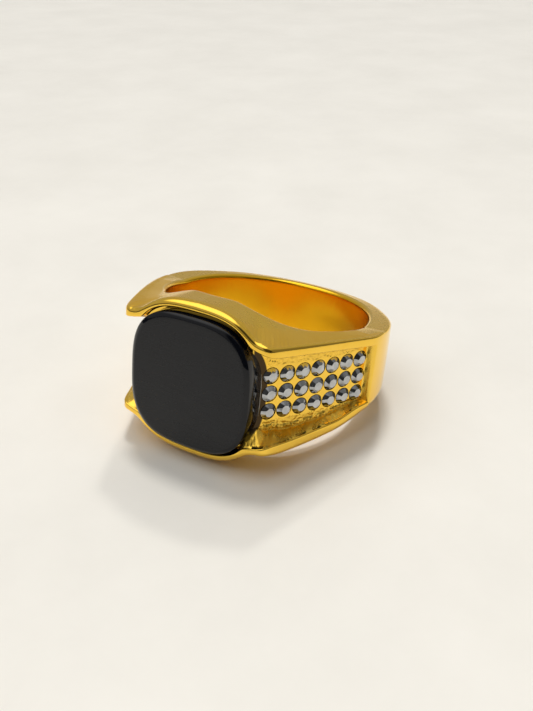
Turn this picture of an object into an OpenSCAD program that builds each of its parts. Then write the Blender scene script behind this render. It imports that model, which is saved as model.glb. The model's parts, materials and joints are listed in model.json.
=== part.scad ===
// Signet ring lying on its side, with a black cushion stone and two shoulders set with small chatons.
// The ring is drawn upright, with the finger hole along Z and the stone facing -Y, and each node is then
// tipped by lie_down() into the pose in which the ring rests on a table.

/* [Band] */
// Diameter of the finger hole
bore_d = 19; // [18.6:0.1:19.2]
// Thickness of the band at the back of the finger
back_wall = 2; // [1.8:0.1:2.4]
// Thickness of the band at the two sides of the finger
side_wall = 2.3; // [2.1:0.1:2.5]
// Width of the band at the back of the finger
back_width = 5.7; // [5:0.1:6.4]
// Width of the band at the two sides of the finger
side_width = 7.6; // [7.4:0.1:8.4]

/* [Head] */
// Width of the head, measured along the finger
head_width = 13.8; // [13.6:0.1:14.4]
// Height of the rails' front above the finger hole
head_rise = 3; // [2.8:0.1:3.2]
// Length of the head's rounded outline around the finger
head_length = 13; // [12.8:0.1:13.2]
// Width of the shoulder where it leaves the head
shoulder_width = 9.8; // [9.6:0.1:10.2]
// Angle round the finger from the stone's normal to the normal of the shoulder's flat rails
shoulder_angle = 67.5; // [67:0.5:68]
// Distance from the finger hole's axis to those flat rails
shoulder_distance = 11.4; // [11.3:0.05:11.5]
// How much fuller the undersides and the left shoulder are than the right shoulder's upper side
fullness = 0.4; // [0:0.1:0.5]
// Width of each rail beside the panels
rail_width = 0.85; // [0.75:0.05:1]

/* [Top stone] */
// Length of the stone around the finger
stone_length = 11.6; // [11.4:0.1:11.8]
// Width of the stone along the finger
stone_width = 11.8; // [11.6:0.1:12]
// Thickness of the stone from its table to its back
stone_thickness = 2.1; // [1.9:0.1:2.3]
// Height of the stone's table above the rails
stone_proud = 0.65; // [0.5:0.05:0.8]
// Squareness of the cushion outline, 2 for an ellipse
cushion_power = 3; // [2.6:0.1:3.4]
// Width of the chamfer round the stone's table
chamfer_width = 0.35; // [0.2:0.05:0.5]
// Depth of the chamfer round the stone's table
chamfer_depth = 0.2; // [0.1:0.05:0.3]

/* [Shoulder panels] */
// Angle round the finger from the stone's normal to the panel's normal
panel_angle = 62.3; // [61.5:0.1:63]
// Distance from the finger hole's axis to the panel's floor
floor_distance = 10.5; // [10.45:0.05:10.6]
// Offset of the panel's middle from that normal, negative towards the stone
panel_shift = -1.55; // [-1.7:0.05:-1.4]
// Radius of the gentle curve of the panel's floor
floor_radius = 54; // [48:1:60]
// Distance of the panel's end wall from the middle of the ring, towards the stone
panel_end = 1.25; // [1.1:0.05:1.3]

/* [Chatons] */
// Number of chatons in a row
columns = 7; // [3:1:7]
// Number of rows
rows = 3; // [1:2:3]
// Spacing of the columns round the finger
column_pitch = 1.55; // [1.52:0.01:1.58]
// Spacing of the rows along the finger
row_pitch = 1.62; // [1.55:0.01:1.7]
// Diameter of a chaton at its girdle
chaton_d = 1.42; // [1.3:0.01:1.44]
// How far the hand-set chatons lean away from their seats' axes, in degrees
chaton_lean = 3; // [0:0.5:3]

/* [Hidden] */
$fn = 96;
bore_r = bore_d / 2;
band_r = bore_r + side_wall;
band_shift = back_wall - side_wall;
back_y = band_r + band_shift;
head_y = bore_r + head_rise;
back_half = back_width / 2;
side_half = side_width / 2;

// Distance from the middle of the ring at which the shoulders have their stated width
shoulder_start = 7;
// Length over which the head's outline blends into the shoulders
outline_blend = 0.3;
// Growth of the side faces towards the head, per square millimetre of distance from the sides
side_flare = 0.05;
outline_steps = 48;
cut_margin = 3;

seat_gap = 0.3;
cement_bed = 0.08;
table_y = head_y + stone_proud;
stone_back_y = table_y - stone_thickness;
pocket_y = stone_back_y - cement_bed;

chaton_r = chaton_d / 2;
crown_height = 0.3;
girdle_height = 0.06;
pavilion_depth = 0.46;
chaton_table_r = 0.56 * chaton_r;
culet_r = 0.08;
sliver = 0.01;
ledge_r = chaton_r + 0.025;
ledge_depth = 0.22;
well_r = 0.54;
well_depth = 0.64;
cement_height = 0.28;
cement_clearance = 0.04;
golden_angle = 137.5;

gold = [0.83, 0.6, 0.2];
onyx = [0.07, 0.07, 0.08];
hematite = [0.36, 0.36, 0.39];
cement_grey = [0.55, 0.53, 0.48];

function chaton_name(side, row, column) = str(side, "_chaton_row", row, "_", column);
function chaton_names() = [
    for (side = ["right", "left"], row = [1 : rows], column = [1 : columns]) chaton_name(side, row, column)
];

// Half width of the shoulder as a straight taper, at a distance x from the middle of the ring
function shoulder_half(x) =
    side_half + (shoulder_width / 2 - side_half) * (band_r - x) / (band_r - shoulder_start);

// Half width of the head as a cushion shape, at a distance x from the middle
function head_arc(x) =
    head_width / 2 * pow(max(1 - pow(2 * x / head_length, cushion_power), 0), 1 / cushion_power);

// Half width of the whole ring seen from the front: the wider of head and shoulder, with a soft blend
function front_half(x) =
    outline_blend * ln(exp(head_arc(abs(x)) / outline_blend) + exp(shoulder_half(abs(x)) / outline_blend));

// The same half width where the shoulder is fuller
function full_half(x) =
    let (along = (abs(x) - head_length / 2) / (band_r - head_length / 2))
    front_half(x) + fullness * sin(180 * min(max(along, 0), 1));

// Half width of the ring seen from the side: a flare towards the head and an arc towards the back
function flank_half(y) =
    y < 0 ? side_half + side_flare * y * y : side_half + (back_half - side_half) * pow(y / back_y, 2);

// The ring rests on the edge of its head and the edge of its back
rest_tilt = atan((front_half(0) - back_half) / (head_y + back_y));

// Closed outline from a half width given at each station, symmetric about the long axis
function mirrored_outline(upper) =
    concat(upper, [for (i = [len(upper) - 1 : -1 : 0]) [upper[i].x, -upper[i].y]]);

// Cushion outline with half length a and half width b
function cushion(a, b) = [
    for (i = [0 : 4 * outline_steps - 1])
        let (angle = 90 * i / outline_steps, c = cos(angle), s = sin(angle))
        [a * sign(c) * pow(abs(c), 2 / cushion_power), b * sign(s) * pow(abs(s), 2 / cushion_power)]
];

// Tips the upright ring onto its head and the back of its band
module lie_down() {
    rotate([-rest_tilt, 0, 0]) children();
}

// Extrudes an outline drawn as seen from the front, from y = -front to y = -back
module from_front(front, back) {
    translate([0, -back, 0]) rotate([90, 0, 0]) linear_extrude(front - back) children();
}

// Moves to the middle of the right panel's floor, with +X along the panel's normal
module on_panel() {
    rotate([0, 0, panel_angle - 90]) translate([floor_distance, panel_shift, 0]) children();
}

// Repeats for each chaton seat of the right panel, with +Z along the seat's axis
module at_seat(row, column) {
    angle = (column - (columns + 1) / 2) * column_pitch / floor_radius * 180 / PI;
    height = ((rows + 1) / 2 - row) * row_pitch;
    on_panel() translate([-floor_radius, 0, 0]) rotate([0, 0, angle]) translate([floor_radius, 0, height])
        rotate([0, 90, 0]) children();
}

module at_every_seat() {
    for (row = [1 : rows], column = [1 : columns]) at_seat(row, column) children();
}

// Draws the right shoulder's children, or their mirror image on the left
module on_side(side) {
    if (side == "right") children();
    else mirror([1, 0, 0]) children();
}

// Everything behind the flat rails of one shoulder
module behind_rails(side) {
    on_side(side) rotate([0, 0, shoulder_angle - 90])
        translate([shoulder_distance - 3 * head_y, -2 * head_y]) square([3 * head_y, 4 * head_y]);
}

// The ring seen along the finger hole
module plan_outline() {
    intersection() {
        union() {
            translate([0, band_shift]) circle(band_r);
            translate([-band_r, -head_y]) square([2 * band_r, head_y]);
        }
        behind_rails("right");
        behind_rails("left");
    }
}

// The ring seen from the front, wide round the stone and narrower over the shoulders
module front_outline() {
    stations = [for (i = [-outline_steps : outline_steps]) (band_r + 1) * i / outline_steps];
    polygon(concat(
        [for (x = stations) [x, x < 0 ? full_half(x) : front_half(x)]],
        [for (x = stations) [-x, -full_half(x)]]
    ));
}

// The ring seen from the side, narrow at the back
module side_outline() {
    start = -head_y - 1;
    stations = [for (i = [0 : outline_steps]) start + (back_y + 1 - start) * i / outline_steps];
    polygon(mirrored_outline([for (y = stations) [y, flank_half(y)]]));
}

// Space between the two rails over the right panel's floor
module panel_recess() {
    intersection() {
        linear_extrude(head_width, center = true) difference() {
            translate([0, -head_y - cut_margin]) square([band_r + 1, head_y + cut_margin - panel_end]);
            on_panel() translate([-floor_radius, 0]) circle(floor_radius, $fn = 360);
        }
        from_front(head_y + 1, -head_y) polygon(mirrored_outline([
            for (x = [0, band_r + 1]) [x, shoulder_half(x) - rail_width]
        ]));
    }
}

// One drilled seat, with a ledge for the girdle and a well for the pavilion
module chaton_seat() {
    translate([0, 0, -ledge_depth]) cylinder(h = 1, r = ledge_r);
    translate([0, 0, -well_depth]) cylinder(h = 1, r = well_r);
}

module shank() {
    color(gold) lie_down() difference() {
        intersection() {
            linear_extrude(head_width + 2, center = true) plan_outline();
            from_front(head_y + 1, -back_y - 1) front_outline();
            rotate([90, 0, 90]) linear_extrude(2 * band_r + 2, center = true) side_outline();
        }
        cylinder(h = head_width + 4, r = bore_r, center = true, $fn = 180);
        from_front(head_y + 1, pocket_y)
            polygon(cushion(stone_length / 2 + seat_gap, stone_width / 2 + seat_gap));
        for (side = ["right", "left"]) on_side(side) {
            panel_recess();
            at_every_seat() chaton_seat();
        }
    }
}

module top_stone() {
    girdle = cushion(stone_length / 2, stone_width / 2);
    table = cushion(stone_length / 2 - chamfer_width, stone_width / 2 - chamfer_width);
    color(onyx) lie_down() {
        hull() {
            from_front(table_y - chamfer_depth, stone_back_y) polygon(girdle);
            from_front(table_y, stone_back_y) polygon(table);
        }
    }
}

module top_stone_cement() {
    color(cement_grey) lie_down() from_front(stone_back_y, pocket_y)
        polygon(cushion(stone_length / 2, stone_width / 2));
}

// Round stone with an octagonal table and a pointed back. Its girdle lies just below the floor
module chaton() {
    color(hematite) hull() {
        translate([0, 0, crown_height - sliver]) cylinder(h = sliver, r = chaton_table_r, $fn = 8);
        for (turn = [0, 180 / 8]) rotate([0, 0, turn])
            translate([0, 0, -girdle_height]) cylinder(h = girdle_height, r = chaton_r, $fn = 8);
        translate([0, 0, -girdle_height - pavilion_depth]) cylinder(h = sliver, r = culet_r, $fn = 8);
    }
}

// Turn and lean of one hand-set chaton, spread evenly by the golden angle
module hand_set(row, column) {
    turn = golden_angle * (row * columns + column);
    lean = chaton_lean * (0.7 + 0.3 * sin(turn / 2));
    rotate([0, 0, turn]) rotate([lean, 0, 0]) children();
}

// Cement between a chaton's pavilion and the walls of its well
module cement_dot() {
    cone_top = -girdle_height;
    cone_slope = (chaton_r - culet_r) / pavilion_depth;
    top = -well_depth + cement_height;
    tip = cone_top - pavilion_depth;
    rotate_extrude() polygon([
        [0, -well_depth],
        [well_r, -well_depth],
        [well_r, top],
        [culet_r + cement_clearance + (top - tip) * cone_slope, top],
        [culet_r + cement_clearance, tip],
        [0, tip]
    ]);
}

module chaton_cement(side) {
    color(cement_grey) lie_down() on_side(side) at_every_seat() cement_dot();
}

module set_chaton(side, row, column) {
    lie_down() on_side(side) at_seat(row, column) hand_set(row, column) chaton();
}

shank();
top_stone();
top_stone_cement();
chaton_cement("right");  // right_chaton_cement
chaton_cement("left");  // left_chaton_cement
for (side = ["right", "left"], row = [1 : rows], column = [1 : columns])
    set_chaton(side, row, column);
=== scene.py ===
"""Signet ring lying on a pale table, with a black cushion stone and two shoulders of small chatons.

The ring is modelled upright in millimetres, with the finger hole along Z and the stone facing -Y. Each piece
is then tipped and scaled into the frame's pose by to_frame().
"""
import json
import math

import bpy
import numpy as np
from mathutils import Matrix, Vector, noise


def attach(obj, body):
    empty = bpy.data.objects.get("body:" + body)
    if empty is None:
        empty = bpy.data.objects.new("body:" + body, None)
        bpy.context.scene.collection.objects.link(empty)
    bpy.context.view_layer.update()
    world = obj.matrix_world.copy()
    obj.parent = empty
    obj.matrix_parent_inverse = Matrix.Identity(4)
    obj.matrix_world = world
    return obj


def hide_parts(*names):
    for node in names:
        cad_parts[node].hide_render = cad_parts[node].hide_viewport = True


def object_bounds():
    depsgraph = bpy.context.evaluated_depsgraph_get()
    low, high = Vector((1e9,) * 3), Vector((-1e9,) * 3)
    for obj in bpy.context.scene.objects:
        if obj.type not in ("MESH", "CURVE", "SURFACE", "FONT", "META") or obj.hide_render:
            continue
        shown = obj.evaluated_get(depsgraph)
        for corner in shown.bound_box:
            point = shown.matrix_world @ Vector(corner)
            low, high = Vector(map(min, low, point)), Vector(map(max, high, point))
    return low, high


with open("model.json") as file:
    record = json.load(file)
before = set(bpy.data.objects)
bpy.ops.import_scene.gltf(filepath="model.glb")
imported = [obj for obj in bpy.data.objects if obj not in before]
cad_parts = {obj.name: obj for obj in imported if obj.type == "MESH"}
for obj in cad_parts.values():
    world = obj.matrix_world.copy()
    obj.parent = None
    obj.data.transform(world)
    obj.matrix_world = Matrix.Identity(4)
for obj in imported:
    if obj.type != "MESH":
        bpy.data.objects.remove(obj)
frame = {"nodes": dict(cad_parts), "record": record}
cad_low, cad_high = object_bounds()

# ---------------------------------------------------------------- sizes of the ring, in millimetres

hole = next(m for m in frame["record"]["mounts"] if m["name"] == "finger_hole")
MM = 0.001
BORE_R = hole["dims"]["r_mm"]
TILT = math.atan2(hole["axis"][1], hole["axis"][2])

# Plan of the ring: the head's flat front, the flat shoulders and the round band
HEAD_Y = 12.5
BAND_R = 11.8
BAND_SHIFT = -0.3
SHOULDER_ANGLE = math.radians(67.5)
SHOULDER_DISTANCE = 11.4
CORNER_SOFT = 0.4
BAND_SOFT = 0.15

# Half widths along the finger
HEAD_HALF = 6.9
HEAD_LENGTH_HALF = 6.5
SHOULDER_HALF = 4.9
SHOULDER_START = 7.0
OUTLINE_BLEND = 0.3
FULLNESS = 0.4
SIDE_HALF = 3.8
BACK_HALF = 2.85
RAIL_WIDTH = 0.85
RIM_R = 9.9
RIM_TOP = 6.94
RIM_DROP = 0.08
SIDE_RISE = 0.155
HUMP_RISE = 1.95
HUMP_LENGTH = 8.1
STEP = 0.06
STEP_LENGTH = 0.3

# Floor of the shoulder panels, and the wall at their far end
PANEL_ANGLE = math.radians(62.3)
FLOOR_DISTANCE = 10.5
PANEL_SHIFT = -1.55
FLOOR_RADIUS = 54.0
PANEL_END = 1.25

# Stone and its pocket
CUSHION_POWER = 3.0
STONE_HALF = (5.8, 5.9)
POCKET_HALF = (6.1, 6.2)
STONE_TABLE_Y = HEAD_Y + 0.65
STONE_BACK_Y = STONE_TABLE_Y - 2.1
POCKET_FLOOR_Y = STONE_BACK_Y - 0.08
CHAMFER_WIDTH = 0.35
CHAMFER_DEPTH = 0.2
POCKET_SILL = 0.7
POCKET_INSET = 0.06

# Chaton seats
COLUMNS = 7
ROWS = 3
COLUMN_PITCH = 1.55
ROW_PITCH = 1.62
LEDGE_R = 0.75
LEDGE_DEPTH = 0.22
WELL_R = 0.54
WELL_DEPTH = 0.64

# Rounding of the casting's edges, as (azimuths in degrees, radii)
RIM = 0.42
UPPER_RIDGE = ((18, 34, 82, 98, 128), (0.7, 0.38, 0.2, 0.22, 0.95))
LOWER_RIDGE = ((18, 34, 62, 86, 126, 150), (0.7, 0.38, 0.4, 1.2, 1.2, 0.95))
LOWER_DROP = ((22, 30, 38, 74, 86, 128, 150), (0.0, 0.12, 0.0, 0.0, 0.18, 0.2, 0.0))
BAND_ROOM = 10.0
RAIL_EDGE = 0.13
RAIL_FLAT = 0.03
FLOOR_FILLET = 0.1
BACK_CROWN = 0.16

# Recess walls, as (distances from the ring's middle, widths): their lean, and how far out the lower one starts
UPPER_DRAFT = ((5.4, 6.5), (0.06, 0.25))
LOWER_DRAFT = ((4.6, 5.4, 6.5, 7.3, 8.3, 9.6, 10.3, 11.2), (0.3, 1.3, 1.15, 0.57, 0.31, 0.28, 0.4, 0.12))
LOWER_RAIL_SHIFT = ((7.4, 8.4, 10.2, 11.5), (0.0, 0.15, 0.15, -0.45))

# Skin of the casting in the panels' margins: its grain starts this far below the outside, and ends this far
# before the panel does
GRAIN_HEIGHT = 0.055
GRAIN_SCALE = 4.2
GRAIN_BELOW = 0.25
WALL_GRAIN = 0.04
END_MARGIN = 0.35

# Row of cast beads at the foot of the lower wall
BEAD_INSET = 0.2
BEAD_PITCH = 0.34
BEAD_HALF = 0.2
BEAD_HEIGHT = 0.17
BEAD_START = -5.2
BEAD_FADE = 0.5

# Seat and pocket numbers shared by the cutter and the masks
SEAT_LIP = 0.03
LIP_WIDTH = 0.015
DEEPEST = 0.9
SHARP_ANGLE = math.radians(38)


def to_frame(points):
    """Points of the upright ring, in millimetres, to the lying ring's frame, in metres."""
    p = np.asarray(points, float)
    c, s = math.cos(TILT), math.sin(TILT)
    return np.stack([p[..., 0], c * p[..., 1] + s * p[..., 2], c * p[..., 2] - s * p[..., 1]], -1) * MM


def soft_min(a, b, k):
    """The smaller of two values, with the corner between them rounded over about k."""
    return -k * np.logaddexp(-a / k, -b / k)


def soft_max(a, b, k):
    """The larger of two values, with the corner between them rounded over about k."""
    return -soft_min(-a, -b, k)


def smooth(t):
    """From 0 to 1 as t does, level at both ends."""
    t = np.clip(t, 0, 1)
    return t * t * (3 - 2 * t)


def eased(value, stops, values):
    """Value between the stops, level at each of them."""
    value = min(max(value, stops[0]), stops[-1])
    k = max(i for i in range(len(stops) - 1) if stops[i] <= value)
    share = float(smooth((value - stops[k]) / (stops[k + 1] - stops[k])))
    return values[k] + (values[k + 1] - values[k]) * share


# ---------------------------------------------------------------- outlines of the shank

def outer_reach(azimuth):
    """Distance from the axis to the outside of the ring. Azimuth 0 is the stone's side, pi the back."""
    side = np.sin(azimuth)
    ahead = np.cos(azimuth)
    head = HEAD_Y / np.maximum(ahead, 1e-3)
    shoulder = SHOULDER_DISTANCE / np.maximum(np.cos(azimuth - SHOULDER_ANGLE), 1e-3)
    straight = BAND_R / np.maximum(side, 1e-3)
    band = -ahead * BAND_SHIFT + np.sqrt(BAND_R**2 - (side * BAND_SHIFT) ** 2)
    flank = np.where(straight * ahead > -BAND_SHIFT, straight, band)
    return soft_min(soft_min(head, shoulder, CORNER_SOFT), flank, BAND_SOFT)


def panel_point(along, height=0.0):
    """A point of the right panel's floor and the normal there, from its distance along the floor."""
    turn = PANEL_ANGLE + along / FLOOR_RADIUS
    normal = np.array([math.sin(turn), -math.cos(turn)])
    flat = floor_centre() + normal * FLOOR_RADIUS
    return np.array([flat[0], flat[1], height]), np.array([normal[0], normal[1], 0.0])


def floor_centre():
    """Centre of the arc that a panel's floor follows."""
    middle = np.array([math.sin(PANEL_ANGLE), -math.cos(PANEL_ANGLE)])
    across = np.array([math.cos(PANEL_ANGLE), math.sin(PANEL_ANGLE)])
    return middle * (FLOOR_DISTANCE - FLOOR_RADIUS) + across * PANEL_SHIFT


def floor_depth(start, inward):
    """Distance from a point of the outside, along a direction, to the pocket's sill or the panel's floor."""
    sill = (POCKET_SILL - HEAD_Y - start[1]) / inward[1]
    away = start - floor_centre()
    slope = away @ inward
    panel = -slope - math.sqrt(slope**2 - away @ away + FLOOR_RADIUS**2)
    return float(soft_max(sill, panel, 0.03))


def shoulder_half(x):
    """Half width of the shoulders at a distance x from the ring's middle."""
    return SIDE_HALF + (SHOULDER_HALF - SIDE_HALF) * (BAND_R - x) / (BAND_R - SHOULDER_START)


def cushion_half(x, half_length, half_width):
    """Half width of a cushion outline at a distance x from its middle."""
    return half_width * np.maximum(1 - (x / half_length) ** CUSHION_POWER, 0) ** (1 / CUSHION_POWER)


def back_half(y):
    """Half width behind the finger, with a small step where the flat flank turns into the band."""
    narrowing = (SIDE_HALF - STEP - BACK_HALF) * (y / (BAND_R + BAND_SHIFT)) ** 2
    return SIDE_HALF - STEP * smooth(y / STEP_LENGTH) - narrowing


def ridge_half(x, y):
    """Height of the side face at its outer edge, over the middle plane."""
    front = soft_max(cushion_half(x, HEAD_LENGTH_HALF, HEAD_HALF), shoulder_half(x), OUTLINE_BLEND)
    return np.where(y < 0, front, back_half(np.maximum(y, 0)))


def extra_half(x):
    """How much wider a fuller shoulder is at a distance x from the ring's middle."""
    along = (x - HEAD_LENGTH_HALF) / (BAND_R - HEAD_LENGTH_HALF)
    return FULLNESS * np.sin(math.pi * np.clip(along, 0, 1))


def rim_half(azimuth):
    """Height of the side face at the finger hole's edge: one long hump behind the stone."""
    x, y = RIM_R * np.sin(azimuth), -RIM_R * np.cos(azimuth)
    hump = HUMP_RISE * (0.5 + 0.5 * np.cos(math.pi * np.minimum(x / HUMP_LENGTH, 1)))
    front = SIDE_HALF - RIM_DROP + SIDE_RISE * np.maximum(-y, 0) + hump
    return np.where(y < 0, soft_min(front, RIM_TOP, 0.06), back_half(np.maximum(y, 0)) - RIM_DROP)


def rail_inside(x):
    """Height of the rails' inner edge: round the stone's pocket, then straight along the panel."""
    return soft_max(cushion_half(min(x, POCKET_HALF[0]), *POCKET_HALF), shoulder_half(x) - RAIL_WIDTH, 0.12)


# ---------------------------------------------------------------- mesh of the shank

def panel_end_azimuth():
    """Azimuth of the rim of the panel's end wall."""
    return math.atan2(BAND_R - 0.15, PANEL_END)


def stations():
    """Azimuths of the right half's cross sections, close together where the panel and its end wall are."""
    end = panel_end_azimuth()
    head = np.radians(np.linspace(0, 18, 30))[:-1]
    corner = np.radians(np.linspace(18, 34, 81))[:-1]
    panel = np.linspace(math.radians(34), end - math.radians(2.4), 160)[:-1]
    wall = np.linspace(end - math.radians(2.4), end + math.radians(0.5), 32)[:-1]
    back = np.linspace(end + math.radians(0.5), math.pi, 90)
    return np.concatenate([head, corner, panel, wall, back])


def half_section(azimuth, full, lower):
    """One cross section's upper or lower half, from the bore's middle round to the floor's.

    Gives the points, all at positive heights, and the height of the foot of the recess wall.
    """
    degrees = math.degrees(azimuth)
    end = panel_end_azimuth()
    quarter = np.linspace(0, math.pi / 2, 9)
    outward = np.array([math.sin(azimuth), -math.cos(azimuth)])
    outer = float(outer_reach(azimuth))
    edge = outward * outer
    ridge = eased(degrees, *(LOWER_RIDGE if lower else UPPER_RIDGE))
    inner_z = float(rim_half(azimuth))
    outer_z = float(ridge_half(edge[0], edge[1]))
    rail_z = float(rail_inside(edge[0]))
    if full and edge[1] < 0:
        outer_z += float(extra_half(edge[0]))
    if lower:
        outer_z -= eased(degrees, *LOWER_DROP)
        rail_z += eased(edge[0], *LOWER_RAIL_SHIFT)
    behind = float(smooth((azimuth - end) / math.radians(8)))
    room = outer_z - rail_z - RAIL_EDGE - RAIL_FLAT + BAND_ROOM * behind
    high = float(soft_min(ridge, max(room, 0.12), 0.04))
    rail_z = min(rail_z, outer_z - high - RAIL_EDGE - RAIL_FLAT)

    bore_z = np.linspace(0, inner_z - RIM, 14)[:-1]
    flank = np.linspace(0, 1, 10)
    radius = [
        np.full(len(bore_z), BORE_R),
        BORE_R + RIM * (1 - np.cos(quarter))[:-1],
        BORE_R + RIM + (outer - ridge - BORE_R - RIM) * flank,
        outer - ridge * (1 - np.sin(quarter))[1:],
    ]
    height = [
        bore_z,
        inner_z - RIM * (1 - np.sin(quarter))[:-1],
        inner_z + (outer_z - inner_z) * flank,
        outer_z - high * (1 - np.cos(quarter))[1:],
    ]
    radius = np.concatenate(radius)
    height = np.concatenate(height)
    crown = BACK_CROWN * float(smooth((degrees - 95) / 30))
    across = np.clip((radius - BORE_R - RIM) / (outer - BORE_R - RIM), 0, 1)
    radius = radius - crown * across * (height / outer_z) ** 2
    round_part = radius[:, None] * outward

    turn = float(smooth((degrees - 20) / 8))
    inward = -outward * turn + np.array([0.0, 1.0]) * (1 - turn)
    inward /= np.linalg.norm(inward)
    deep = floor_depth(edge, inward) if azimuth < end else 0.5
    draft = eased(edge[0], *(LOWER_DRAFT if lower else UPPER_DRAFT))
    rail = np.linspace(outer_z - high, rail_z + RAIL_EDGE, 6)[1:-1]
    wall = np.linspace(0, 1, 8)[1:-1]
    depth = [
        np.zeros(len(rail)),
        RAIL_EDGE * (1 - np.cos(quarter)),
        RAIL_EDGE + (deep - FLOOR_FILLET - RAIL_EDGE) * wall,
        deep - FLOOR_FILLET * (1 - np.sin(quarter)),
    ]
    level = [
        rail,
        rail_z + RAIL_EDGE * (1 - np.sin(quarter)),
        rail_z - draft * wall,
        rail_z - draft - FLOOR_FILLET * (1 - np.cos(quarter)),
    ]
    foot = level[-1][-1]
    floor = np.concatenate([np.linspace(foot, foot * 0.62, 24)[1:], np.linspace(foot * 0.62, 0, 18)[1:]])
    level = np.concatenate(level + [floor])
    depth = np.concatenate(depth + [np.full(len(floor), deep)])
    depth = np.minimum(depth, end_wall(azimuth, outer, deep))
    depth += crown * (level / outer_z) ** 2
    flat_part = edge + depth[:, None] * inward
    points = np.column_stack([np.concatenate([round_part, flat_part]), np.concatenate([height, level])])
    return points, foot


def end_wall(azimuth, outer, deep):
    """Greatest depth that the panel's end wall allows at this azimuth."""
    inside = (panel_end_azimuth() - azimuth) * outer
    if inside <= 0:
        return 0.0
    if inside < RAIL_EDGE:
        return RAIL_EDGE - math.sqrt(RAIL_EDGE**2 - inside**2)
    inside -= RAIL_EDGE
    wall = deep - FLOOR_FILLET - RAIL_EDGE
    lean = UPPER_DRAFT[1][0]
    if inside < lean:
        return RAIL_EDGE + wall * inside / lean
    inside = min(inside - lean, FLOOR_FILLET)
    return deep - FLOOR_FILLET + math.sqrt(FLOOR_FILLET**2 - (FLOOR_FILLET - inside) ** 2)


def shank_side(left):
    """Closed cross sections of one side of the ring, and the height of the lower wall's foot."""
    rows = []
    feet = []
    for azimuth in stations():
        upper, _ = half_section(float(azimuth), full=left, lower=False)
        lower, foot = half_section(float(azimuth), full=True, lower=True)
        rows.append(np.concatenate([upper, lower[-2:0:-1] * (1, 1, -1)]))
        feet.append(np.full(len(rows[-1]), foot))
    side = np.array(rows)
    return (side * (-1, 1, 1) if left else side), np.array(feet)


def shank_grid():
    """All cross sections round the ring, and the height of the lower wall's foot at each point."""
    right, right_feet = shank_side(left=False)
    left, left_feet = shank_side(left=True)
    return np.concatenate([right, left[-2:0:-1]]), np.concatenate([right_feet, left_feet[-2:0:-1]])


def panel_place(points):
    """Distance along the panel's floor and height over it, for points of either shoulder."""
    away = np.stack([np.abs(points[:, 0]), points[:, 1]], 1) - floor_centre()
    turn = np.arctan2(away[:, 0], -away[:, 1]) - PANEL_ANGLE
    return turn * FLOOR_RADIUS, np.hypot(away[:, 0], away[:, 1]) - FLOOR_RADIUS


def below_outside(points):
    """Distance of points below the outside of the ring."""
    azimuth = np.arctan2(np.abs(points[:, 0]), -points[:, 1])
    return outer_reach(azimuth) - np.hypot(points[:, 0], points[:, 1])


def pocket_measure(points):
    """1 on the outline of the stone's pocket, less inside it and more outside."""
    x, z = np.abs(points[:, 0]) / POCKET_HALF[0], np.abs(points[:, 2]) / POCKET_HALF[1]
    return x**CUSHION_POWER + z**CUSHION_POWER


def recess_mask(points):
    """1 inside the panels' recesses and fading to 0 towards their rims, the pocket and the finger hole."""
    _, out = panel_place(points)
    beside_stone = smooth((pocket_measure(points) - 0.98) / 0.08)
    deep = smooth((below_outside(points) - GRAIN_BELOW) / 0.12)
    return beside_stone * deep * (out > -DEEPEST) * (points[:, 1] < 0.5)


def grain_mask(points):
    """1 in the unpolished margins of the panels' floors, fading to 0 among the chatons."""
    along, _ = panel_place(points)
    field_z = ROW_PITCH + LEDGE_R
    field_end = COLUMN_PITCH * (COLUMNS - 1) / 2 + LEDGE_R
    beyond = np.maximum(np.abs(points[:, 2]) - field_z, along - field_end)
    before_end = smooth((-points[:, 1] - PANEL_END - END_MARGIN) / 0.15)
    return smooth((beyond - 0.02) / 0.12) * before_end * recess_mask(points)


def painted_shade_mask(points):
    """1 down in the chatons' seats and the stone's pocket, where shade is painted dark onto the plating."""
    along, out = panel_place(points)
    column = np.clip(np.round(along / COLUMN_PITCH), -(COLUMNS // 2), COLUMNS // 2)
    row = np.clip(np.round(points[:, 2] / ROW_PITCH), -(ROWS // 2), ROWS // 2)
    from_seat = np.hypot(along - column * COLUMN_PITCH, points[:, 2] - row * ROW_PITCH)
    in_seat = smooth((-out - 0.01) / 0.02) * (from_seat < LEDGE_R + 0.01) * (out > -DEEPEST)
    below_sill = smooth((points[:, 1] + HEAD_Y - POCKET_SILL - 0.02) / 0.1)
    in_pocket = smooth((1.005 - pocket_measure(points)) / 0.02) * below_sill * (points[:, 1] < -BORE_R)
    return np.maximum(in_seat * (points[:, 1] < 0), in_pocket)


def rough_mask(points):
    """1 on the panels' grainy margins and on the walls round them, which are left as cast."""
    _, out = panel_place(points)
    return np.maximum(grain_mask(points), recess_mask(points) * smooth((out - 0.04) / 0.1))


def bead_push(along, height, foot):
    """Height of the row of cast beads at the foot of a panel's lower wall, over its floor."""
    line = BEAD_INSET - foot
    turn = along / BEAD_PITCH
    size = 0.35 + 0.65 * np.sin(2.4 * np.floor(turn)) ** 2
    bead = np.sin(math.pi * (turn % 1)) ** 0.7 * size
    across = np.clip(1 - ((height - line) / BEAD_HALF) ** 2, 0, 1)
    return BEAD_HEIGHT * bead * across**0.6


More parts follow.
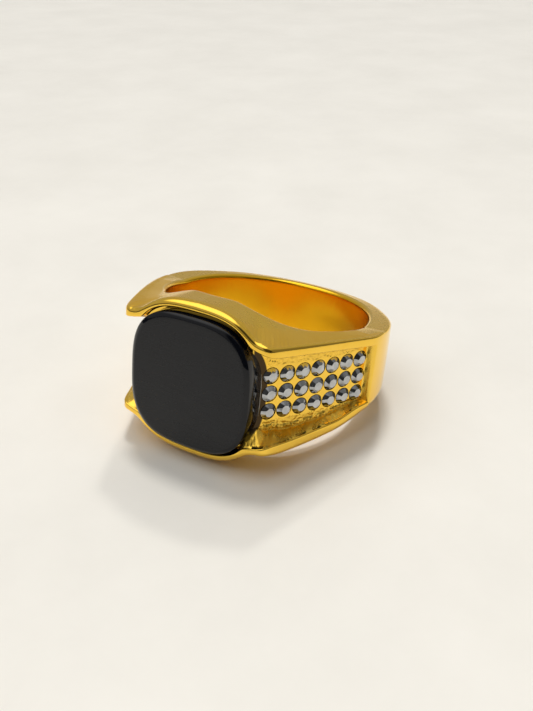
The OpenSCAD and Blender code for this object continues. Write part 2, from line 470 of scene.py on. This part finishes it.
def add_grain(points, feet):
    """Pushes the margins' points in and out, as the skin of an investment casting."""
    mask = grain_mask(points)
    along, out = panel_place(points)
    on_wall = smooth((out - 0.08) / 0.1)
    beads = bead_push(along, points[:, 2], feet) * (1 - on_wall) * smooth((along - BEAD_START) / BEAD_FADE)
    _, normal = panel_point(0.0)
    for i in np.nonzero(mask > 0.01)[0]:
        place = Vector(points[i])
        finest = noise.noise(place * (GRAIN_SCALE * 2) + Vector((3.1, 1.7, 9.2)))
        fine = noise.noise(place * GRAIN_SCALE) + 0.6 * finest
        push = mask[i] * (GRAIN_HEIGHT * fine + beads[i]) * (1 - on_wall[i])
        points[i, 0] += math.copysign(normal[0], points[i, 0]) * push
        points[i, 1] += normal[1] * push
        points[i, 2] += mask[i] * on_wall[i] * WALL_GRAIN * fine
    return points


def flank_mask(points):
    """1 on the flat side faces of the ring, 0 on its rounded edges."""
    azimuth = np.arctan2(np.abs(points[:, 0]), -points[:, 1])
    outer = outer_reach(azimuth)
    inner_z = rim_half(azimuth)
    outer_z = ridge_half(np.sin(azimuth) * outer, -np.cos(azimuth) * outer)
    start = BORE_R + RIM
    across = (np.hypot(points[:, 0], points[:, 1]) - start) / (outer - 0.3 - start)
    level = inner_z + (outer_z - inner_z) * np.clip(across, 0, 1)
    return smooth((np.abs(points[:, 2]) - level + 0.1) / 0.08) * smooth((across + 0.08) / 0.08)


def mesh_object(name, points, faces):
    """A new object in the scene, from its points and faces."""
    mesh = bpy.data.meshes.new(name)
    mesh.from_pydata([tuple(p) for p in points], [], faces)
    mesh.validate()
    made = bpy.data.objects.new(name, mesh)
    bpy.context.scene.collection.objects.link(made)
    return made


def lathe(profile, place, axis, segments):
    """Closed solid of revolution about `axis` through `place`, from (radius, height) pairs."""
    axis = Vector(axis)
    side = axis.orthogonal().normalized()
    other = axis.cross(side)
    points = [Vector(place) + axis * profile[0][1]]
    for radius, height in profile[1:-1]:
        for k in range(segments):
            turn = 2 * math.pi * k / segments
            outward = side * math.cos(turn) + other * math.sin(turn)
            points.append(Vector(place) + axis * height + outward * radius)
    points.append(Vector(place) + axis * profile[-1][1])
    faces = []
    rings = len(profile) - 2
    last = len(points) - 1
    for k in range(segments):
        after = (k + 1) % segments
        faces.append((0, 1 + after, 1 + k))
        for ring in range(rings - 1):
            low, high = 1 + ring * segments, 1 + (ring + 1) * segments
            faces.append((low + k, low + after, high + after, high + k))
        top = 1 + (rings - 1) * segments
        faces.append((top + k, top + after, last))
    return points, faces


def cushion_ring(inset, y, count=192):
    """Points of the stone's outline in the plane y = -`y`, moved in by `inset`."""
    turn = np.linspace(0, 2 * math.pi, count, endpoint=False)
    c, s = np.cos(turn), np.sin(turn)
    x = (STONE_HALF[0] - inset) * np.sign(c) * np.abs(c) ** (2 / CUSHION_POWER)
    z = (STONE_HALF[1] - inset) * np.sign(s) * np.abs(s) ** (2 / CUSHION_POWER)
    return np.stack([x, np.full(count, -y), z], 1)


def cushion_solid(profile):
    """Closed cushion-shaped solid from (inset, depth) pairs, from its back to its table."""
    rings = [cushion_ring(inset, y) for inset, y in profile]
    count = len(rings[0])
    points = [p for ring in rings for p in ring]
    faces = []
    for i in range(len(rings) - 1):
        for k in range(count):
            after = (k + 1) % count
            faces.append((i * count + k, (i + 1) * count + k, (i + 1) * count + after, i * count + after))
    faces.append(tuple(range(count)))
    faces.append(tuple(range((len(rings) - 1) * count, len(rings) * count))[::-1])
    return points, faces


def seat_cutter():
    """The stone's pocket and all the chaton seats, as one mesh of separate solids."""
    inset = STONE_HALF[0] - POCKET_HALF[0] + POCKET_INSET
    points, faces = cushion_solid([(inset, POCKET_FLOOR_Y), (inset, HEAD_Y + 2)])
    profile = [
        (0, -WELL_DEPTH), (WELL_R, -WELL_DEPTH), (WELL_R, -LEDGE_DEPTH), (LEDGE_R, -LEDGE_DEPTH),
        (LEDGE_R, -SEAT_LIP), (LEDGE_R + LIP_WIDTH, 0.0), (LEDGE_R + LIP_WIDTH, 0.5), (0, 0.5),
    ]
    for side in (1, -1):
        for row in range(ROWS):
            for column in range(COLUMNS):
                along = (column - (COLUMNS - 1) / 2) * COLUMN_PITCH
                place, axis = panel_point(along, ((ROWS - 1) / 2 - row) * ROW_PITCH)
                more, more_faces = lathe(profile, place * (side, 1, 1), axis * (side, 1, 1), 40)
                faces += [tuple(i + len(points) for i in face) for face in more_faces]
                points += [np.array(p) for p in more]
    return mesh_object("seat_cutter", points, faces)


def make_shank():
    """The casting, with its grain, the stone's pocket and the chatons' seats."""
    grid, feet = shank_grid()
    count, around = grid.shape[:2]
    points = add_grain(grid.reshape(-1, 3), feet.reshape(-1))
    faces = []
    for i in range(count):
        for k in range(around):
            a, b = i * around, ((i + 1) % count) * around
            after = (k + 1) % around
            faces.append((a + k, b + k, b + after, a + after))
    body = mesh_object("ring_shank", points, faces)
    cutter = seat_cutter()
    cut = body.modifiers.new("seats", "BOOLEAN")
    cut.operation = "DIFFERENCE"
    cut.solver = "EXACT"
    cut.object = cutter
    shaped = bpy.data.meshes.new_from_object(body.evaluated_get(bpy.context.evaluated_depsgraph_get()))
    body.modifiers.clear()
    body.data = shaped
    bpy.data.objects.remove(cutter)
    return body


def finish_shank(body):
    """Marks the finishes and the painted shade on the shank's points, then tips it into the frame."""
    mesh = body.data
    points = np.zeros(len(mesh.vertices) * 3)
    mesh.vertices.foreach_get("co", points)
    points = points.reshape(-1, 3)
    reach = np.hypot(points[:, 0], points[:, 1])
    masks = {
        "bore": smooth((BORE_R + 0.25 - reach) / 0.2),
        "face": flank_mask(points),
        "grain": rough_mask(points),
        # painted shade: the chatons' seats and the stone's pocket get a near-black colour
        "painted_shade": painted_shade_mask(points),
    }
    for name, values in masks.items():
        layer = mesh.attributes.new(name, "FLOAT", "POINT")
        layer.data.foreach_set("value", values.astype(np.float32))
    mesh.vertices.foreach_set("co", to_frame(points).ravel())
    mesh.update()
    mesh.shade_smooth()
    mesh.set_sharp_from_angle(angle=SHARP_ANGLE)


def make_stone():
    """The black cushion tablet, with softened edges on its chamfer."""
    soft = 0.05
    wall_top = STONE_TABLE_Y - CHAMFER_DEPTH
    lean = CHAMFER_WIDTH * soft / CHAMFER_DEPTH
    profile = [
        (0.3, STONE_BACK_Y),
        (0.06, STONE_BACK_Y),
        (0.0, STONE_BACK_Y + 0.06),
        (0.0, wall_top - soft),
        (0.012, wall_top - 0.01),
        (lean * 0.6, wall_top + soft * 0.6),
        (CHAMFER_WIDTH - lean * 0.6, STONE_TABLE_Y - soft * 0.6),
        (CHAMFER_WIDTH + 0.02, STONE_TABLE_Y - 0.008),
        (CHAMFER_WIDTH + 0.12, STONE_TABLE_Y),
        (CHAMFER_WIDTH + 0.4, STONE_TABLE_Y),
    ]
    points, faces = cushion_solid(profile)
    stone = mesh_object("cushion_stone", to_frame(points), faces)
    satin = stone.data.attributes.new("satin", "FLOAT", "POINT")
    on_table = [float(-p[1] > STONE_TABLE_Y - 0.01) for p in points]
    satin.data.foreach_set("value", on_table)
    stone.data.shade_smooth()
    stone.data.set_sharp_from_angle(angle=math.radians(50))
    return stone


# ---------------------------------------------------------------- materials

class Nodes:
    """Short helpers to build one material's node tree."""

    def __init__(self, name):
        self.material = bpy.data.materials.new(name)
        self.material.use_nodes = True
        self.tree = self.material.node_tree
        self.tree.nodes.clear()
        self.out = self.add("ShaderNodeOutputMaterial")
        self.shader = self.add("ShaderNodeBsdfPrincipled")
        self.link(self.shader, "BSDF", self.out, "Surface")

    def add(self, kind, **settings):
        made = self.tree.nodes.new(kind)
        for key, value in settings.items():
            setattr(made, key, value)
        return made

    def link(self, source, output, target, entry):
        self.tree.links.new(source.outputs[output], target.inputs[entry])

    def coordinates(self, scale=(1, 1, 1), turn=(0, 0, 0)):
        place = self.add("ShaderNodeTexCoord")
        mapping = self.add("ShaderNodeMapping")
        mapping.inputs["Scale"].default_value = scale
        mapping.inputs["Rotation"].default_value = turn
        self.link(place, "Object", mapping, "Vector")
        return mapping

    def noise(self, coordinates, scale, detail=2.0, roughness=0.5):
        made = self.add("ShaderNodeTexNoise")
        made.inputs["Scale"].default_value = scale
        made.inputs["Detail"].default_value = detail
        made.inputs["Roughness"].default_value = roughness
        self.link(coordinates, "Vector", made, "Vector")
        return made

    def attribute(self, name):
        return self.add("ShaderNodeAttribute", attribute_name=name)

    def remap(self, source, output, low, high, to_low, to_high):
        made = self.add("ShaderNodeMapRange")
        for entry, value in zip(("From Min", "From Max", "To Min", "To Max"), (low, high, to_low, to_high)):
            made.inputs[entry].default_value = value
        self.link(source, output, made, "Value")
        return made

    def math(self, operation, first, second):
        """first and second are numbers or (node, output) pairs."""
        made = self.add("ShaderNodeMath", operation=operation)
        for entry, value in enumerate((first, second)):
            if isinstance(value, tuple):
                self.link(value[0], value[1], made, entry)
            else:
                made.inputs[entry].default_value = value
        return made

    def mix_colour(self, factor, first, second):
        made = self.add("ShaderNodeMix", data_type="RGBA")
        self.link(factor[0], factor[1], made, "Factor")
        for entry, value in ((6, first), (7, second)):
            if isinstance(value[0], (int, float)):
                made.inputs[entry].default_value = (*value, 1)
            else:
                self.tree.links.new(value[0].outputs[value[1]], made.inputs[entry])
        return made

    def bump(self, source, output, strength, distance):
        made = self.add("ShaderNodeBump")
        made.inputs["Strength"].default_value = strength
        made.inputs["Distance"].default_value = distance
        self.link(source, output, made, "Height")
        return made


def gold_material():
    """Gold plating: polished, with satin side faces, a brushed bore, and painted shade in the bore, seats and
    pocket.
    """
    n = Nodes("plated_gold")
    n.shader.inputs["Metallic"].default_value = 1.0
    even = n.coordinates()
    cloud = n.noise(even, 260, 3, 0.6)
    tone = n.remap(cloud, "Fac", 0.3, 0.7, 0.0, 1.0)
    plated = n.mix_colour((tone, "Result"), (0.97, 0.6, 0.07), (1.0, 0.65, 0.1))
    bore = n.attribute("bore")
    # Painted shade: the bore is coloured a deeper, darker amber, as light bounced round inside it looks
    deep = n.mix_colour((bore, "Fac"), (plated, 2), (0.95, 0.53, 0.015))
    # Painted shade: the chatons' seats and the stone's pocket are coloured nearly black
    painted_shade = n.attribute("painted_shade")
    with_painted_shade = n.mix_colour((painted_shade, "Fac"), (deep, 2), (0.06, 0.04, 0.02))
    n.tree.links.new(with_painted_shade.outputs[2], n.shader.inputs["Base Color"])

    face = n.attribute("face")
    grain = n.attribute("grain")
    scuff = n.remap(n.noise(even, 900, 4, 0.65), "Fac", 0.35, 0.75, 0.0, 0.05)
    rough = n.math("MULTIPLY_ADD", (face, "Fac"), 0.2)
    rough.inputs[2].default_value = 0.06
    rough = n.math("ADD", (rough, "Value"), (n.math("MULTIPLY", (bore, "Fac"), 0.14), "Value"))
    rough = n.math("ADD", (rough, "Value"), (n.math("MULTIPLY", (grain, "Fac"), 0.2), "Value"))
    rough = n.math("ADD", (rough, "Value"), (scuff, "Result"))
    n.link(rough, "Value", n.shader, "Roughness")

    along_bore = n.coordinates(scale=(1, 1, 0.04), turn=(-TILT, 0, 0))
    brushed = n.noise(along_bore, 2600, 2, 0.5)
    brushed = n.math("MULTIPLY", (brushed, "Fac"), (bore, "Fac"))
    ripple = n.noise(even, 700, 2, 0.5)
    first = n.bump(ripple, "Fac", 0.03, 0.0002)
    second = n.bump(brushed, "Value", 0.25, 0.00005)
    n.link(first, "Normal", second, "Normal")
    n.link(second, "Normal", n.shader, "Normal")
    return n.material


def black_stone_material():
    """Black stone: a satin table with faint streaks, and a polished chamfer and wall."""
    n = Nodes("black_stone")
    even = n.coordinates()
    cloud = n.noise(even, 300, 4, 0.6)
    tone = n.remap(cloud, "Fac", 0.3, 0.7, 0.0, 1.0)
    colour = n.mix_colour((tone, "Result"), (0.001, 0.0015, 0.004), (0.003, 0.004, 0.007))
    n.tree.links.new(colour.outputs[2], n.shader.inputs["Base Color"])
    n.shader.inputs["Specular IOR Level"].default_value = 0.36
    streaks = n.noise(n.coordinates(scale=(1, 1, 6)), 500, 3, 0.6)
    satin = n.remap(streaks, "Fac", 0.3, 0.7, 0.16, 0.26)
    on_table = n.math("MULTIPLY", (n.attribute("satin"), "Fac"), (satin, "Result"))
    rough = n.math("ADD", (on_table, "Value"), 0.05)
    n.link(rough, "Value", n.shader, "Roughness")
    bump = n.bump(n.noise(even, 3000, 2, 0.5), "Fac", 0.05, 0.00003)
    n.link(bump, "Normal", n.shader, "Normal")
    return n.material


def hematite_material():
    """Grey metallic lustre of the chatons, a little uneven."""
    n = Nodes("hematite")
    n.shader.inputs["Metallic"].default_value = 1.0
    even = n.coordinates()
    cloud = n.noise(even, 1400, 2, 0.5)
    tone = n.remap(cloud, "Fac", 0.35, 0.65, 0.0, 1.0)
    colour = n.mix_colour((tone, "Result"), (0.44, 0.45, 0.46), (0.56, 0.57, 0.58))
    n.tree.links.new(colour.outputs[2], n.shader.inputs["Base Color"])
    rough = n.remap(n.noise(even, 5000, 2, 0.5), "Fac", 0.3, 0.7, 0.04, 0.1)
    n.link(rough, "Result", n.shader, "Roughness")
    return n.material


def cement_material():
    """Dull, mottled cement."""
    n = Nodes("cement")
    tone = n.remap(n.noise(n.coordinates(), 4000, 3, 0.6), "Fac", 0.3, 0.7, 0.0, 1.0)
    colour = n.mix_colour((tone, "Result"), (0.42, 0.4, 0.35), (0.55, 0.53, 0.48))
    n.tree.links.new(colour.outputs[2], n.shader.inputs["Base Color"])
    n.shader.inputs["Roughness"].default_value = 0.7
    return n.material


def floor_material():
    """Pale table with faint clouds and a fine tooth."""
    n = Nodes("pale_table")
    even = n.coordinates()
    cloud = n.noise(even, 60, 5, 0.6)
    tone = n.remap(cloud, "Fac", 0.3, 0.7, 0.0, 1.0)
    colour = n.mix_colour((tone, "Result"), (0.82, 0.8, 0.75), (0.88, 0.86, 0.81))
    n.tree.links.new(colour.outputs[2], n.shader.inputs["Base Color"])
    n.shader.inputs["Specular IOR Level"].default_value = 0.3
    rough = n.remap(n.noise(even, 900, 3, 0.6), "Fac", 0.3, 0.7, 0.3, 0.42)
    n.link(rough, "Result", n.shader, "Roughness")
    bump = n.bump(n.noise(even, 2500, 3, 0.6), "Fac", 0.06, 0.0001)
    n.link(bump, "Normal", n.shader, "Normal")
    return n.material


# ---------------------------------------------------------------- stage

CAMERA_AZIMUTH = 29.54
CAMERA_ELEVATION = 31.53
CAMERA_DISTANCE = 0.07678
CAMERA_AIM = Vector((0.00057, -0.00063, -0.00135))
FOCAL_LENGTH_IN_HEIGHTS = 1.1275

LAMP_DIRECTION = (-0.35, -0.2, 0.92)
LAMP_LIGHT = 1.1
CURTAIN_DIRECTION = (0.43, -0.78, 0.45)
CEILING_LIGHT = 0.43
WALL_LIGHT = 0.4
RIGHT_SHARE = 0.45
DARK_SHARE = 0.12
BACKDROP_LIGHT = 0.8
FLOOR_HALF = 3.0


def away_from(azimuth, elevation):
    """Unit vector towards a place round the object; azimuth 0 is the front and 90 the right."""
    a, e = math.radians(azimuth), math.radians(elevation)
    return Vector((math.sin(a) * math.cos(e), -math.cos(a) * math.cos(e), math.sin(e)))


def make_camera():
    """A camera at the stated azimuth and elevation, framed for an upright picture."""
    data = bpy.data.cameras.new("camera")
    camera = bpy.data.objects.new("camera", data)
    bpy.context.scene.collection.objects.link(camera)
    back = away_from(CAMERA_AZIMUTH, CAMERA_ELEVATION)
    camera.location = CAMERA_AIM + back * CAMERA_DISTANCE
    camera.rotation_mode = "QUATERNION"
    camera.rotation_quaternion = (-back).to_track_quat("-Z", "Y")
    data.sensor_width = 36
    data.lens = 36 * FOCAL_LENGTH_IN_HEIGHTS
    data.clip_start, data.clip_end = 0.001, 10
    bpy.context.scene.camera = camera


def make_sun(name, azimuth, elevation, energy, width):
    """A soft sun that casts shadows but shows in no reflection; its width in degrees blurs their edge."""
    data = bpy.data.lights.new(name, "SUN")
    data.energy = energy
    data.angle = math.radians(width)
    data.color = (1.0, 0.97, 0.92)
    lamp = bpy.data.objects.new(name, data)
    bpy.context.scene.collection.objects.link(lamp)
    lamp.rotation_mode = "QUATERNION"
    lamp.rotation_quaternion = away_from(azimuth, elevation).to_track_quat("Z", "Y")
    lamp.visible_glossy = False


def make_world():
    """A studio: grey walls, a dark curtain and skirting, a soft lamp, and a pale backdrop to look at."""
    world = bpy.data.worlds.new("studio")
    bpy.context.scene.world = world
    world.use_nodes = True
    tree = world.node_tree
    place = tree.nodes.new("ShaderNodeTexCoord").outputs["Generated"]
    split = tree.nodes.new("ShaderNodeSeparateXYZ")
    tree.links.new(place, split.inputs[0])

    def step(value, low, high, start, end):
        """From `start` to `end` as the value goes from low to high, smoothly."""
        made = tree.nodes.new("ShaderNodeMapRange")
        made.interpolation_type = "SMOOTHSTEP"
        for entry, number in zip(("From Min", "From Max", "To Min", "To Max"), (low, high, start, end)):
            made.inputs[entry].default_value = number
        tree.links.new(value, made.inputs["Value"])
        return made.outputs["Result"]

    def combine(operation, first, second):
        made = tree.nodes.new("ShaderNodeMath")
        made.operation = operation
        tree.links.new(first, made.inputs[0])
        tree.links.new(second, made.inputs[1])
        return made.outputs["Value"]

    def nearness(direction):
        """Cosine of the angle from a direction."""
        made = tree.nodes.new("ShaderNodeVectorMath")
        made.operation = "DOT_PRODUCT"
        made.inputs[1].default_value = Vector(direction).normalized()
        tree.links.new(place, made.inputs[0])
        return made.outputs["Value"]

    height = split.outputs["Z"]
    lamp = step(nearness(LAMP_DIRECTION), 0.82, 0.93, 0.0, LAMP_LIGHT)
    walls = step(height, 0.1, 0.6, WALL_LIGHT, CEILING_LIGHT)
    right = step(split.outputs["X"], 0.4, 0.75, 1.0, RIGHT_SHARE)
    in_front = step(split.outputs["Y"], -0.25, 0.0, 1.0, 0.0)
    skirting = combine("MULTIPLY", in_front, step(height, 0.1, 0.22, 1.0, 0.0))
    curtain = step(nearness(CURTAIN_DIRECTION), 0.78, 0.9, 0.0, 1.0)
    lit = step(combine("MAXIMUM", skirting, curtain), 0.0, 1.0, 1.0, DARK_SHARE)
    walls = combine("MULTIPLY", combine("MULTIPLY", walls, right), lit)
    light = combine("ADD", walls, lamp)

    backdrop = tree.nodes.new("ShaderNodeMix")
    backdrop.data_type = "FLOAT"
    rays = tree.nodes.new("ShaderNodeLightPath")
    tree.links.new(rays.outputs["Is Camera Ray"], backdrop.inputs["Factor"])
    tree.links.new(light, backdrop.inputs[2])
    backdrop.inputs[3].default_value = BACKDROP_LIGHT
    background = tree.nodes["Background"]
    tree.links.new(backdrop.outputs[0], background.inputs["Strength"])
    background.inputs["Color"].default_value = (1.0, 0.99, 0.97, 1)


def make_floor(level):
    """The table top, at the height of the ring's lowest point."""
    size = FLOOR_HALF
    corners = [(-size, -size, level), (size, -size, level), (size, size, level), (-size, size, level)]
    floor = mesh_object("table", corners, [(0, 1, 2, 3)])
    floor.data.materials.append(floor_material())


# ---------------------------------------------------------------- assembly

def dress_cad_nodes():
    """Gives the chatons and the cement their materials."""
    hematite = hematite_material()
    cement = cement_material()
    for name, node in frame["nodes"].items():
        chosen = cement if "cement" in name else hematite
        node.data.materials.clear()
        node.data.materials.append(chosen)


bpy.context.scene.view_settings.view_transform = "Standard"
make_camera()
dress_cad_nodes()

shank = make_shank()
finish_shank(shank)
shank.data.materials.clear()
shank.data.materials.append(gold_material())
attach(shank, "root")
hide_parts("shank")

stone = make_stone()
stone.data.materials.append(black_stone_material())
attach(stone, "root")
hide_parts("top_stone")

make_sun("key", azimuth=208, elevation=68, energy=1.25, width=9)
make_sun("window", azimuth=197, elevation=51, energy=0.6, width=5)
make_world()
make_floor(cad_low.z)
